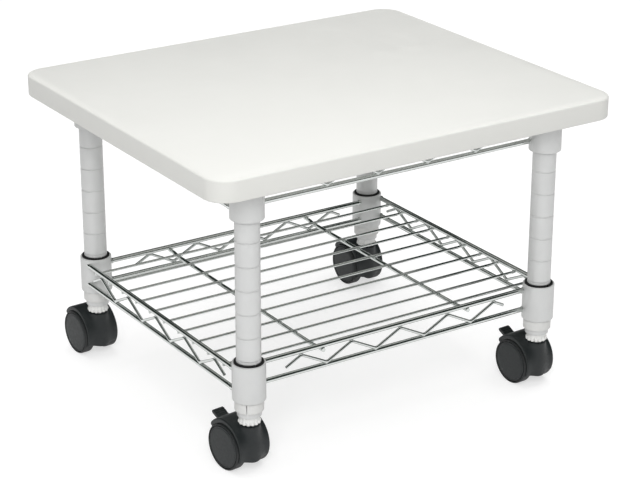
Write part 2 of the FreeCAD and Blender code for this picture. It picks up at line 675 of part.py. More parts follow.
def make_brake_lever():
    """A foot lever on trunnions, whose end cams meet the inside of the rims when it is pressed."""
    pivot_y, pivot_z = TRAIL + LEVER_PIVOT_Y, WHEEL_RADIUS + LEVER_PIVOT_Z
    tip = pivot_y + LEVER_LENGTH
    half = LEVER_THICKNESS / 2
    tab = box(-LEVER_HALF_WIDTH, LEVER_HALF_WIDTH, pivot_y, tip, pivot_z - half, pivot_z + half)
    tip_edges = [
        e for e in tab.Edges
        if e.Length > LEVER_LENGTH / 4 and all(abs(v.Y - tip) < 1e-6 for v in e.Vertexes)
    ]
    ribs = []
    reach = LEVER_HALF_WIDTH - GRIP_RIB_WIDTH
    for index in range(GRIP_RIBS):
        y = tip - GRIP_START - index * GRIP_RIB_PITCH
        ribs.append(box(-reach, reach, y, y + GRIP_RIB_WIDTH, pivot_z, pivot_z + half + GRIP_RIB_HEIGHT))
    barrel = along_x(LEVER_BARREL_RADIUS, LEVER_HALF_WIDTH, pivot_y, pivot_z)
    lever = tab.makeFillet(LEVER_TIP_ROUND, tip_edges).fuse(ribs + [barrel])
    lever.rotate(Vector(0, pivot_y, pivot_z), X_AXIS, LEVER_SLOPE)
    trunnions = along_x(TRUNNION_RADIUS, CAM_OUTER, pivot_y, pivot_z)
    inward = BRAKE_CAM_OFFSET * math.sqrt(0.5)
    cams = along_x(BRAKE_CAM_RADIUS, CAM_OUTER, pivot_y - inward, pivot_z + inward)
    cams = cams.cut(along_x(2 * BRAKE_CAM_RADIUS, WEB_HALF_WIDTH + BODY_GAP, pivot_y, pivot_z))
    return lever.fuse([trunnions, cams]).removeSplitter()


def make_casters():
    nodes = {
        "caster_stems": at_all_corners(make_stem()),
        "stem_retaining_rings": at_all_corners(make_retaining_ring()),
    }
    for corner in CORNERS:
        braked = corner in BRAKED
        nodes[corner + "_hood"] = at_caster(make_hood(braked), corner)
        nodes[corner + "_axle"] = at_caster(make_axle(), corner)
        for side_name, side in (("left", -1), ("right", 1)):
            nodes[corner + "_wheel_" + side_name] = at_caster(make_wheel(side), corner)
            nodes[corner + "_wheel_cover_" + side_name] = at_caster(make_wheel_cover(side), corner)
        if braked:
            nodes[corner + "_brake_lever"] = at_caster(make_brake_lever(), corner)
    return nodes


# ---------------------------------------------------------------- the whole stand
def main():
    os.makedirs("parts", exist_ok=True)
    nodes = {}
    for group in (make_top(), make_wire_frames(), make_posts(), make_casters()):
        nodes.update(group)
    for name, shape in nodes.items():
        if not shape.isValid():
            print("not valid:", name)
        shape.exportStep(os.path.join("parts", name + ".step"))
    print(len(nodes), "nodes")


main()
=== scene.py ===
import json
import math

import bmesh
import bpy
from mathutils import Matrix, Vector


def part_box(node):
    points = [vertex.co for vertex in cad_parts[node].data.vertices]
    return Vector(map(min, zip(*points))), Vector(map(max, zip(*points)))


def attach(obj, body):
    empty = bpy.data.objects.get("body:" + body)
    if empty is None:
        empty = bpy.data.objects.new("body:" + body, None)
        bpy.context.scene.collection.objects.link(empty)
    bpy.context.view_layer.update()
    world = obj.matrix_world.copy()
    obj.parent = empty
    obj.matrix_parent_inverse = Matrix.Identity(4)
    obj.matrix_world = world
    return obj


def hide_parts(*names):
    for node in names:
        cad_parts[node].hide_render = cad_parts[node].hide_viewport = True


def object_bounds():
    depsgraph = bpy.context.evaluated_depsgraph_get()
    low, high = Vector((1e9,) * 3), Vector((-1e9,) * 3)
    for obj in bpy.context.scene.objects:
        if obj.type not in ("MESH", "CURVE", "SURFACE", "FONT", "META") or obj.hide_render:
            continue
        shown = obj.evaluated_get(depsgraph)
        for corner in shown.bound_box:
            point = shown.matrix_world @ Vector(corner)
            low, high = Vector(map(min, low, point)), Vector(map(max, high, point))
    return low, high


# The looks of the mobile printer stand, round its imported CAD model. Shapes are made in
# millimetres and placed in the CAD's frame, in metres. Places come from the CAD nodes' boxes
# and from the joints.

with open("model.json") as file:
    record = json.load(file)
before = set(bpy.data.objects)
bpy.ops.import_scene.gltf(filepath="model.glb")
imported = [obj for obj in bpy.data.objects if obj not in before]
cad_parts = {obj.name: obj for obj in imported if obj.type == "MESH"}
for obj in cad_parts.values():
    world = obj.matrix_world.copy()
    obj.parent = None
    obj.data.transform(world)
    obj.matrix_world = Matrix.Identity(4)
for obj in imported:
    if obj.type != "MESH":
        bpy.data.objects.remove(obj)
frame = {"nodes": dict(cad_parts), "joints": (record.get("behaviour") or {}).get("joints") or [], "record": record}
cad_low, cad_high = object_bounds()

MM = 0.001
CORNERS = ("front_left", "front_right", "rear_left", "rear_right")
BRAKED = ("front_left", "front_right")
SIDES = {"left": -1, "right": 1}
JOINTS = {joint["name"]: joint for joint in frame["joints"]}
SLOT_OF = {part["node"]: part["material_slot"] for part in frame["record"]["subparts"]}
SHARP = math.radians(38)

# Camera, in metres and degrees
VIEW_AZIMUTH = -33.18
VIEW_ELEVATION = 21.99
VIEW_ROLL = 0.13
VIEW_FROM = (-1.1144, -1.7169, 0.9818)
LENS = 113.0

# Studio, in shares of light, metres and watts
FLOOR_GLOW = 0.60
FLOOR_GLOW_AS_LIGHT = 0.12
FLOOR_GLOW_IN_GLOSS = 0.42
WORLD_STRENGTH = 0.40
CEILING_START = 0.07
CEILING_COLOUR = (0.030, 0.038, 0.034, 1)
KEY_PLACE = (-1.5, -2.2, 2.0)
KEY_SIZE = 1.4
KEY_POWER = 54
OVERHEAD_PLACE = (0.2, 0.2, 2.8)
OVERHEAD_SIZE = 3.0
OVERHEAD_POWER = 57

# Post and shelf fittings, in millimetres
GROOVE_PITCH = 25.4
GROOVE_WIDTH = 2.2
GROOVE_DEPTH = 0.5
SHELF_GROOVE = 125.5
POST_WALL = 1.2
COLLAR_BORE_TOP = 15.4
COLLAR_BORE_BOTTOM = 15.9
SLEEVE_GAP = 1.4
SLEEVE_BORE = 12.75
SLEEVE_TOP_RADIUS = 15.3
SLEEVE_BOTTOM_RADIUS = 15.85
SLEEVE_LIP_HEIGHT = 1.6
RING_BORE = 12.72
RING_SLIT = 1.3
RING_SLIT_ANGLE = {"front_left": 229.0, "front_right": 60.0, "rear_left": 15.0, "rear_right": 120.0}
SOCKET_LOBES = 14
SOCKET_BORE = 5.55
SOCKET_PLUG_RADIUS = 11.45
SOCKET_FLANGE_RADIUS = 11.8
SOCKET_FLANGE_HEIGHT = 3.2
SOCKET_NECK_RADIUS = 10.9
SOCKET_FLANGE_FLUTES = 2.3
SOCKET_NECK_FLUTES = 0.5

# Wires, and the half sizes of their weld beads along X, Y and Z on the long sides
RAIL_RADIUS = 2.75
ZIGZAG_PITCH = 61.5
ZIGZAG_LONG_STUB = 19.0
ZIGZAG_SHORT_STUB = 12.8
ZIGZAG_HALF_STEPS = 4
MAT_WIRES = 10
MAT_RADIUS = 1.5
CROSS_RADIUS = 2.25
CROSS_X = 92.25
RAIL_BEAD = (1.9, 3.5, 3.4)
RAIL_BEAD_SINK = 0.2
ZIGZAG_BEAD = (2.6, 1.5, 1.3)
ZIGZAG_BEAD_DROP = 2.6
ZIGZAG_BEAD_RISE = 2.2
MAT_END_BEAD = (1.9, 2.2, 1.3)
MAT_CROSSING_BEAD = (2.3, 2.0, 0.9)
CROSS_END_BEAD = (3.0, 2.6, 1.2)

# Table top
BAND_THICKNESS = 3.0
BAND_TOP_ROUND = 2.2
BAND_BOTTOM_ROUND = 1.2
CORNER_RADIUS = 25.0
SEAM = 0.12

# Wheels and their cover discs. Places along the axle are from the middle of the caster.
WHEEL_INNER = 10.0
WHEEL_OUTER = 21.0
HUB_BORE = 3.05
HUB_RADIUS = 6.5
HUB_INNER = 9.6
RIM_INNER_RADIUS = 21.9
WHEEL_WEB_INNER = 17.2
COVER_SEAT = 19.2
COVER_SEAT_RADIUS = 23.0
COVER_RADIUS = 22.3
COVER_RING_RADIUS = 19.9
COVER_RING_TOP = 21.05
COVER_EDGE_TOP = 20.9
COVER_GROOVE = 20.7
COVER_CENTRE = 21.4
COVER_DOME_STEPS = (16.0, 12.0, 8.0, 4.0)

# Hoods. The shell and its web lie round the axle, the boss and its seat round the stem. Angles go
# from the caster's rear over its top, and heights are from the floor.
HOOD_INNER_RADIUS = 25.6
HOOD_RADIUS = 28.0
HOOD_SHIFT = 0.7
HOOD_RISE = 2.0
HOOD_HALF_WIDTH = 19.0
HOOD_SIDE_EDGE = 1.3
HOOD_END_EDGE = 1.6
HOOD_LEAST_WALL = 0.3
HOOD_SEARCH = 14.0
HOOD_BACK_ANGLE = 38.0
HOOD_FRONT_ANGLE = 204.0
HOOD_TOP = 52.5
WEB_HALF_WIDTH = 9.0
WEB_RADIUS = 26.2
WEB_HUB_RADIUS = 8.5
BOSS_RADIUS = 11.0
BOSS_BLEND = 6.0
BOSS_BOTTOM = 22.0
STEM_HOLE_RADIUS = 4.05
STEM_RECESS_RADIUS = 7.0
SEAT_RADIUS = 8.8
SEAT_TOP = 53.7
SOCKET_ROOM_RADIUS = 12.4

# Brake levers. (y, z) places are from the axle.
LEVER_PIVOT = (12.0, 12.0)
LEVER_SLOT = [(6.6, 4.0), (6.6, 17.5), (18.0, 24.5), (50.0, 42.0), (50.0, -12.0), (12.0, -6.0)]
LEVER_HALF_WIDTH = 6.7
LEVER_LENGTH = 27.0
LEVER_SLOPE = 23.0
LEVER_HALF_THICKNESS = 1.6
LEVER_PLAY = 0.4
GRIP_RIBS = 3
GRIP_PITCH = 2.5
GRIP_RISE = 0.6
BARREL_RADIUS = 4.2
TRUNNION_RADIUS = 2.0
TRUNNION_END = 12.6
CAM_RADIUS = 4.4
CAM_START = 9.4
CAM_SHIFT = 0.707
EAR_BORE = 2.05
EAR_RADIUS = 5.2
EAR_START = 7.1


# ---------------------------------------------------------------- materials
class Surface:
    """A procedural material: a Principled shader with the nodes that feed it."""

    def __init__(self, name, colour, roughness, metallic=0.0):
        self.material = bpy.data.materials.new(name)
        self.material.use_nodes = True
        self.nodes = self.material.node_tree.nodes
        self.links = self.material.node_tree.links
        self.shader = self.nodes["Principled BSDF"]
        self.colour = colour
        self.shader.inputs["Metallic"].default_value = metallic
        self.shader.inputs["Roughness"].default_value = roughness
        self.shader.inputs["Base Color"].default_value = (*colour, 1)
        self.place = self.nodes.new("ShaderNodeTexCoord").outputs["Object"]
        self.height = None

    def set(self, **values):
        """Sets inputs of the shader, named with underscores for spaces."""
        for name, value in values.items():
            self.shader.inputs[name.replace("_", " ")].default_value = value

    def noise(self, size, detail=3.0, stretch=(1, 1, 1)):
        """A noise whose grains are about this many millimetres across, stretched along each axis."""
        mapping = self.nodes.new("ShaderNodeMapping")
        mapping.inputs["Scale"].default_value = [1 / (size * MM * s) for s in stretch]
        texture = self.nodes.new("ShaderNodeTexNoise")
        texture.inputs["Scale"].default_value = 1.0
        texture.inputs["Detail"].default_value = detail
        self.links.new(self.place, mapping.inputs["Vector"])
        self.links.new(mapping.outputs["Vector"], texture.inputs["Vector"])
        return texture.outputs["Fac"]

    def spread(self, value, low, high):
        """Maps the middle of a noise to a range."""
        node = self.nodes.new("ShaderNodeMapRange")
        node.inputs["From Min"].default_value = 0.3
        node.inputs["From Max"].default_value = 0.7
        node.inputs["To Min"].default_value = low
        node.inputs["To Max"].default_value = high
        self.links.new(value, node.inputs["Value"])
        return node.outputs["Result"]

    def tint(self, factor, other):
        """Mixes the base colour towards another one."""
        mix = self.nodes.new("ShaderNodeMix")
        mix.data_type = "RGBA"
        # A mix node has sockets for every data type. These are the ones for colours.
        share, first, second, result = mix.inputs[0], mix.inputs[6], mix.inputs[7], mix.outputs[2]
        socket = self.shader.inputs["Base Color"]
        if socket.is_linked:
            self.links.new(socket.links[0].from_socket, first)
        else:
            first.default_value = (*self.colour, 1)
        second.default_value = (*other, 1)
        self.links.new(factor, share)
        self.links.new(result, socket)

    def gloss(self, value, low, high):
        """Lets the roughness vary over a range."""
        self.links.new(self.spread(value, low, high), self.shader.inputs["Roughness"])

    def bump(self, value, depth, strength=1.0):
        """Adds a relief this many millimetres deep."""
        node = self.nodes.new("ShaderNodeBump")
        node.inputs["Distance"].default_value = depth * MM
        node.inputs["Strength"].default_value = strength
        self.links.new(value, node.inputs["Height"])
        if self.height is not None:
            self.links.new(self.height, node.inputs["Normal"])
        self.height = node.outputs["Normal"]
        self.links.new(self.height, self.shader.inputs["Normal"])

    def edges(self, low, high):
        """A factor that is 1 on convex edges, from the shape's own curvature."""
        node = self.nodes.new("ShaderNodeMapRange")
        node.inputs["From Min"].default_value = low
        node.inputs["From Max"].default_value = high
        geometry = self.nodes.new("ShaderNodeNewGeometry")
        self.links.new(geometry.outputs["Pointiness"], node.inputs["Value"])
        return node.outputs["Result"]


def laminate():
    """Off-white decor laminate: a fine pebbled sheen with a hardly visible mottle."""
    surface = Surface("laminate", (0.735, 0.735, 0.705), 0.42)
    surface.tint(surface.spread(surface.noise(60, 4), 0, 0.5), (0.72, 0.72, 0.69))
    surface.tint(surface.spread(surface.noise(1.2, 2), 0, 0.25), (0.76, 0.76, 0.735))
    surface.gloss(surface.noise(25, 3), 0.38, 0.47)
    surface.bump(surface.noise(1.4, 2), 0.03, 0.5)
    surface.set(Specular_IOR_Level=0.4)
    return surface.material


def edge_band():
    """Extruded edging: the laminate's colour, a little glossier, with faint lines along its length."""
    surface = Surface("edge_band", (0.73, 0.73, 0.70), 0.36)
    surface.tint(surface.spread(surface.noise(40, 3), 0, 0.4), (0.71, 0.71, 0.675))
    surface.gloss(surface.noise(12, 3), 0.32, 0.42)
    surface.bump(surface.noise(0.5, 2, (30, 30, 1)), 0.02, 0.35)
    surface.bump(surface.noise(1.5, 2), 0.02, 0.3)
    return surface.material


def particle_board():
    """Pressed wood chips."""
    surface = Surface("particle_board", (0.55, 0.40, 0.25), 0.8)
    chips = surface.nodes.new("ShaderNodeTexVoronoi")
    chips.inputs["Scale"].default_value = 450.0
    surface.links.new(surface.place, chips.inputs["Vector"])
    surface.tint(chips.outputs["Distance"], (0.70, 0.56, 0.38))
    surface.tint(surface.spread(surface.noise(3, 4), 0, 0.6), (0.38, 0.26, 0.15))
    surface.bump(chips.outputs["Distance"], 0.3, 0.6)
    return surface.material


def backer():
    """Matt balancing foil on the underside."""
    surface = Surface("backer", (0.66, 0.66, 0.63), 0.6)
    surface.tint(surface.spread(surface.noise(30, 4), 0, 0.5), (0.62, 0.62, 0.59))
    surface.bump(surface.noise(0.9, 2), 0.03, 0.5)
    return surface.material


def silver_paint():
    """Silver powder coat: fine metal flake under a slight orange peel."""
    surface = Surface("silver_paint", (0.65, 0.655, 0.65), 0.38, 0.3)
    surface.tint(surface.spread(surface.noise(0.25, 1), 0, 0.5), (0.75, 0.755, 0.75))
    surface.tint(surface.spread(surface.noise(18, 3), 0, 0.3), (0.60, 0.605, 0.60))
    surface.gloss(surface.noise(6, 3), 0.33, 0.43)
    surface.bump(surface.noise(1.1, 2), 0.02, 0.45)
    surface.set(Specular_IOR_Level=0.3)
    return surface.material


def chrome_wire():
    """Bright chrome over drawn wire: mirror-like, with slight waves and hazy patches."""
    surface = Surface("chrome_wire", (0.74, 0.765, 0.75), 0.1, 1.0)
    surface.tint(surface.spread(surface.noise(9, 4), 0, 0.5), (0.60, 0.625, 0.61))
    surface.gloss(surface.noise(5, 4), 0.06, 0.16)
    surface.bump(surface.noise(3, 2), 0.02, 0.4)
    return surface.material


def zinc_steel():
    """Zinc plate on pressed strip, with its cloudy spangle."""
    surface = Surface("zinc_steel", (0.62, 0.63, 0.64), 0.35, 1.0)
    surface.tint(surface.spread(surface.noise(2.5, 4), 0, 0.8), (0.50, 0.51, 0.53))
    surface.gloss(surface.noise(1.5, 3), 0.28, 0.46)
    surface.bump(surface.noise(0.8, 2), 0.02, 0.4)
    return surface.material


def bright_steel():
    """Turned steel with fine rings left by the tool."""
    surface = Surface("bright_steel", (0.58, 0.58, 0.59), 0.28, 1.0)
    surface.tint(surface.spread(surface.noise(0.4, 3, (20, 20, 1)), 0, 0.6), (0.48, 0.48, 0.49))
    surface.gloss(surface.noise(1.5, 3), 0.22, 0.36)
    surface.bump(surface.noise(0.3, 2, (20, 20, 1)), 0.01, 0.5)
    return surface.material


def black_plastic():
    """Glass-filled nylon of the split sleeves."""
    surface = Surface("black_plastic", (0.006, 0.006, 0.006), 0.5)
    surface.tint(surface.spread(surface.noise(3, 3), 0, 0.6), (0.011, 0.011, 0.011))
    surface.gloss(surface.noise(1, 2), 0.42, 0.56)
    surface.bump(surface.noise(0.5, 2), 0.02, 0.5)
    surface.set(Specular_IOR_Level=0.3)
    return surface.material


def hood_plastic():
    """Charcoal moulded nylon with a spark-eroded texture, and a painted highlight that makes its convex edges
    paler.
    """
    surface = Surface("hood_plastic", (0.012, 0.015, 0.016), 0.46)
    surface.tint(surface.spread(surface.noise(14, 4), 0, 0.5), (0.015, 0.018, 0.019))
    surface.tint(surface.spread(surface.noise(0.35, 2), 0, 0.35), (0.022, 0.025, 0.025))
    # Painted highlight: convex edges, found from the shape's curvature, are tinted paler.
    surface.tint(surface.edges(0.54, 0.64), (0.050, 0.054, 0.054))
    surface.gloss(surface.noise(2.5, 3), 0.40, 0.54)
    surface.bump(surface.noise(0.35, 2), 0.03, 0.55)
    surface.set(Specular_IOR_Level=0.46)
    return surface.material


def wheel_plastic():
    """Harder charcoal nylon, with a little dust on the tread."""
    surface = Surface("wheel_plastic", (0.010, 0.012, 0.013), 0.5)
    surface.tint(surface.spread(surface.noise(7, 5), 0, 0.5), (0.022, 0.022, 0.021))
    surface.gloss(surface.noise(3, 3), 0.42, 0.6)
    surface.bump(surface.noise(0.6, 3), 0.04, 0.6)
    return surface.material


def grey_plastic():
    """Light grey nylon of the support rings."""
    surface = Surface("grey_plastic", (0.73, 0.73, 0.715), 0.42)
    surface.tint(surface.spread(surface.noise(8, 3), 0, 0.5), (0.68, 0.68, 0.665))
    surface.gloss(surface.noise(2, 2), 0.36, 0.48)
    surface.bump(surface.noise(0.6, 2), 0.02, 0.5)
    return surface.material


def white_nylon():
    """Natural white nylon."""
    surface = Surface("white_nylon", (0.84, 0.84, 0.825), 0.36)
    surface.tint(surface.spread(surface.noise(4, 3), 0, 0.4), (0.76, 0.76, 0.73))
    surface.gloss(surface.noise(2, 2), 0.30, 0.42)
    surface.bump(surface.noise(0.7, 2), 0.02, 0.4)
    return surface.material


def floor_paint():
    """A pale floor that glows, so that its shadows stay faint. It glows less as light and in gloss."""
    surface = Surface("floor_paint", (0.50, 0.50, 0.50), 0.9)
    surface.tint(surface.spread(surface.noise(400, 3), 0, 0.3), (0.49, 0.49, 0.49))
    surface.bump(surface.noise(3, 2), 0.05, 0.2)
    surface.set(Specular_IOR_Level=0.1, Emission_Color=(1, 1, 1, 1))
    glow = surface.nodes.new("ShaderNodeMapRange")
    glow.inputs["To Min"].default_value = FLOOR_GLOW
    glow.inputs["To Max"].default_value = FLOOR_GLOW_AS_LIGHT
    path = surface.nodes.new("ShaderNodeLightPath")
    surface.links.new(path.outputs["Is Diffuse Ray"], glow.inputs["Value"])
    mirrored = surface.nodes.new("ShaderNodeMath")
    mirrored.operation = "MULTIPLY_ADD"
    mirrored.inputs[1].default_value = FLOOR_GLOW_IN_GLOSS - FLOOR_GLOW
    surface.links.new(path.outputs["Is Glossy Ray"], mirrored.inputs[0])
    surface.links.new(glow.outputs["Result"], mirrored.inputs[2])
    surface.links.new(mirrored.outputs["Value"], surface.shader.inputs["Emission Strength"])
    return surface.material


MATERIALS = {
    make.__name__: make()
    for make in (laminate, edge_band, particle_board, backer, silver_paint, chrome_wire, zinc_steel,
                 bright_steel, black_plastic, hood_plastic, wheel_plastic, grey_plastic, white_nylon)
}


# ---------------------------------------------------------------- shapes, in millimetres
def rounded(corners, arc_steps=4):
    """A closed outline through (u, v, radius) corners, with an arc of that radius at each."""
    outline = []
    for index, (u, v, radius) in enumerate(corners):
        corner = Vector((u, v))
        back = (Vector(corners[index - 1][:2]) - corner).normalized()
        ahead = (Vector(corners[(index + 1) % len(corners)][:2]) - corner).normalized()
        turn = math.pi - back.angle(ahead)
        if radius == 0 or turn < 0.001:
            outline.append(corner)
            continue
        centre = corner + (back + ahead).normalized() * (radius / math.cos(turn / 2))
        spoke = corner + back * radius * math.tan(turn / 2) - centre
        way = 1 if back.cross(ahead) < 0 else -1
        for step in range(arc_steps + 1):
            outline.append(centre + Matrix.Rotation(way * turn * step / arc_steps, 2) @ spoke)
    return outline


def plain(radius, angle, z):
    """Leaves a turned outline round."""
    return radius


def lathe(outline, segments=64, start=0.0, sweep=360.0, shape=plain):
    """A closed (radius, z) outline turned about Z, all the way round or over part of a turn."""
    whole = sweep >= 360.0
    columns = segments if whole else segments + 1
    points = []
    for column in range(columns):
        angle = math.radians(start + sweep * column / segments)
        for radius, z in outline:
            reach = shape(radius, angle, z)
            points.append((reach * math.cos(angle), reach * math.sin(angle), z))
    count = len(outline)
    faces = []
    for column in range(segments):
        near = column * count
        far = ((column + 1) % columns) * count
        for row in range(count):
            following = (row + 1) % count
            faces.append((near + row, far + row, far + following, near + following))
    if not whole:
        faces.append(tuple(range(count)))
        faces.append(tuple(range(segments * count, columns * count)))
    return points, faces


def ring_of_loops(loops):
    """A closed solid through loops of equally many points, the last joined to the first."""
    count = len(loops[0])
    points = [point for loop in loops for point in loop]
    faces = []
    for row in range(len(loops)):
        near = row * count
        far = ((row + 1) % len(loops)) * count
        for column in range(count):
            following = (column + 1) % count
            faces.append((near + column, near + following, far + following, far + column))
    return points, faces


def stack_of_loops(loops):
    """A closed solid through loops of equally many points, with a flat face at each end."""
    count = len(loops[0])
    points, faces = ring_of_loops(loops)
    faces = faces[:-count]
    faces.append(tuple(range(count)))
    faces.append(tuple(range(len(points) - count, len(points))))
    return points, faces


def slab(outline, half_width, edge=0.0):
    """A prism across X over a (y, z) outline, with its rims chamfered by a small edge."""
    centre = sum((Vector(p[:2]) for p in outline), Vector((0, 0))) / len(outline)
    stations = ((-half_width, edge), (edge - half_width, 0), (half_width - edge, 0), (half_width, edge))
    loops = []
    for x, inset in stations:
        loop = []
        for y, z in (p[:2] for p in outline):
            away = Vector((y, z)) - centre
            y1, z1 = Vector((y, z)) - away.normalized() * inset
            loop.append((x, y1, z1))
        loops.append(loop)
    return stack_of_loops(loops)


def moved(shape, matrix):
    """A shape with its points taken through a matrix."""
    points, faces = shape
    return [tuple(matrix @ Vector(point)) for point in points], faces


def joined(shapes):
    """Several shapes as one."""
    points, faces = [], []
    for more_points, more_faces in shapes:
        first = len(points)
        points += more_points
        faces += [tuple(first + index for index in face) for face in more_faces]
    return points, faces


def mesh_object(name, shape, place=Matrix.Scale(MM, 4)):
    """A smooth-shaded object whose mesh holds the shape, taken to the CAD's frame by place."""
    points, faces = shape
    made = bmesh.new()
    corners = [made.verts.new(place @ Vector(point)) for point in points]
    for face in faces:
        made.faces.new([corners[index] for index in face])
    bmesh.ops.remove_doubles(made, verts=made.verts, dist=1e-6)
    bmesh.ops.dissolve_degenerate(made, edges=made.edges, dist=1e-7)
    bmesh.ops.recalc_face_normals(made, faces=made.faces)
    mesh = bpy.data.meshes.new(name)
    made.to_mesh(mesh)
    made.free()
    thing = bpy.data.objects.new(name, mesh)
    bpy.context.scene.collection.objects.link(thing)
    shade(mesh)
    return thing


def shade(mesh):
    """Smooth shading, kept sharp where two faces meet at more than SHARP."""
    made = bmesh.new()
    made.from_mesh(mesh)
    for face in made.faces:
        face.smooth = True
    for edge in made.edges:
        edge.smooth = edge.calc_face_angle(0.0) < SHARP
    made.to_mesh(mesh)
    made.free()


def carve(thing, cutters):
    """Takes the cutters out of a thing, and removes them."""
    for cutter in cutters:
        change = thing.modifiers.new("cut", "BOOLEAN")
        change.operation = "DIFFERENCE"
        change.solver = "EXACT"
        change.object = cutter
    view = bpy.context.evaluated_depsgraph_get()
    mesh = bpy.data.meshes.new_from_object(thing.evaluated_get(view))
    thing.modifiers.clear()
    thing.data = mesh
    shade(mesh)
    for cutter in cutters:
        bpy.data.objects.remove(cutter)


def merge(things):
    """Joins things into the first one."""
    with bpy.context.temp_override(active_object=things[0], selected_editable_objects=things):
        bpy.ops.object.join()
    return things[0]


def finish_piece(thing, body, slot, *nodes):
    """Gives a piece its material, the body it rides on and the CAD nodes that it stands for."""
    thing.data.materials.clear()
    thing.data.materials.append(MATERIALS[slot])
    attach(thing, body)
    if nodes:
        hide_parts(*nodes)


# ---------------------------------------------------------------- places, from the frame
def node_box(node):
    """The box of a CAD node in millimetres."""
    low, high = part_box(node)
    return low / MM, high / MM


def post_places():
    """Each post's centre, in millimetres."""
    places = {}
    for corner in CORNERS:
        low, high = node_box(corner + "_post")
        places[corner] = ((low + high) / 2).to_2d()
    return places


POSTS = post_places()


def to_post(corner):
    """Takes a shape made round the Z axis to a post, in millimetres."""
    x, y = POSTS[corner]
    return Matrix.Translation((x, y, 0))


def at_post(corner):
    """The same, in metres."""
    return Matrix.Scale(MM, 4) @ to_post(corner)


def at_caster(corner):
    """Takes a shape made in the caster's own frame to where the caster stands, in metres."""
    axle = Vector(JOINTS[corner + "_wheel_left_spin"]["axis"])
    turn = Matrix.Rotation(math.atan2(axle.y, axle.x), 4, "Z")
    return at_post(corner) @ turn


def axle_place(corner):
    """(y, z) of the axle in the caster's own frame, in millimetres."""
    place = Vector(JOINTS[corner + "_wheel_left_spin"]["pos_m"]) / MM
    return (place.to_2d() - POSTS[corner]).length, place.z


# ---------------------------------------------------------------- table top
def rounded_rectangle(length, depth, corner, z, arc_steps=10):
    """Points round a rectangle with rounded corners."""
    points = []
    for turn, (sx, sy) in enumerate(((1, 1), (-1, 1), (-1, -1), (1, -1))):
        for step in range(arc_steps + 1):
            angle = math.pi / 2 * (turn + step / arc_steps)
            x = sx * (length / 2 - corner) + corner * math.cos(angle)
            y = sy * (depth / 2 - corner) + corner * math.sin(angle)
            points.append((x, y, z))
    return points


def make_top():
    """The edge band and the laminate sheet inside it, with a fine seam between them."""
    low, high = node_box("edge_band")
    length, depth = high.x - low.x, high.y - low.y

    def loop(inset, z):
        return rounded_rectangle(length - 2 * inset, depth - 2 * inset, CORNER_RADIUS - inset, z)

    section = rounded([
        (BAND_THICKNESS, low.z, 0), (BAND_THICKNESS - SEAM, low.z, 0), (0, low.z, BAND_BOTTOM_ROUND),
        (0, high.z, BAND_TOP_ROUND), (BAND_THICKNESS - SEAM, high.z, SEAM),
        (BAND_THICKNESS, high.z - 2 * SEAM, 0),
    ], 7)
    band = mesh_object("edge_band_piece", ring_of_loops([loop(inset, z) for inset, z in section]))
    finish_piece(band, "root", "edge_band", "edge_band")

    under, upper = node_box("top_laminate")
    inset = BAND_THICKNESS
    sheet = stack_of_loops([
        loop(inset, under.z), loop(inset, upper.z - 2 * SEAM), loop(inset + SEAM, upper.z - SEAM / 2),
        loop(inset + 2 * SEAM, upper.z),
    ])
    finish_piece(mesh_object("top_laminate_piece", sheet), "root", "laminate", "top_laminate")


# ---------------------------------------------------------------- posts and their fittings
def post_outline(low, high, radius):
    """A grooved tube: every groove is a rolled V with rounded shoulders."""
    inner = radius - POST_WALL
    corners = [(inner, high, 0.3), (inner, low, 0.3), (radius, low, 0.4)]
    first = math.ceil((low + GROOVE_WIDTH - SHELF_GROOVE) / GROOVE_PITCH)
    last = math.floor((high - GROOVE_WIDTH - SHELF_GROOVE) / GROOVE_PITCH)
    for step in range(first, last + 1):
        z = SHELF_GROOVE + step * GROOVE_PITCH
        corners += [(radius, z - GROOVE_WIDTH / 2, 0.8), (radius - GROOVE_DEPTH, z, 0.45),
                    (radius, z + GROOVE_WIDTH / 2, 0.8)]
    corners.append((radius, high, 0.3))
    return rounded(corners)


def make_posts():
    """The four grooved tubes."""
    for corner in CORNERS:
        low, high = node_box(corner + "_post")
        tube = lathe(post_outline(low.z, high.z, (high.x - low.x) / 2), 72)
        post = mesh_object(corner + "_post_piece", tube, at_post(corner))
        finish_piece(post, "root", "silver_paint", corner + "_post")


def make_collars():
    """Tapered sockets of both wire frames, with a rolled rim."""
    for node in ("top_frame_collars", "shelf_collars"):
        low, high = node_box(node)
        radius = high.x - POSTS["front_right"].x
        outline = rounded([
            (COLLAR_BORE_TOP, high.z, 0.4), (COLLAR_BORE_BOTTOM, low.z, 0.4), (radius, low.z, 0.7),
            (radius, high.z, 0.9),
        ], 5)
        collars = [moved(lathe(outline, 72), to_post(corner)) for corner in CORNERS]
        finish_piece(mesh_object(node + "_piece", joined(collars)), "root", "silver_paint", node)


def make_sleeves():
    """The two halves of each split sleeve, with a rounded upper lip."""
    for node in ("top_frame_sleeves", "shelf_sleeves"):
        low, high = node_box(node)
        gap = math.degrees(SLEEVE_GAP / 2 / COLLAR_BORE_TOP)
        outline = rounded([
            (SLEEVE_BORE, high.z, 0.3), (SLEEVE_BORE, low.z, 0), (SLEEVE_BOTTOM_RADIUS, low.z, 0.3),
            (SLEEVE_TOP_RADIUS + 0.05, high.z - SLEEVE_LIP_HEIGHT, 0.2), (SLEEVE_TOP_RADIUS, high.z, 0.7),
        ])
        halves = []
        for corner in CORNERS:
            for start in (-90, 90):
                half = lathe(outline, 32, start + gap, 180 - 2 * gap)
                halves.append(moved(half, to_post(corner)))
        finish_piece(mesh_object(node + "_piece", joined(halves)), "root", "black_plastic", node)


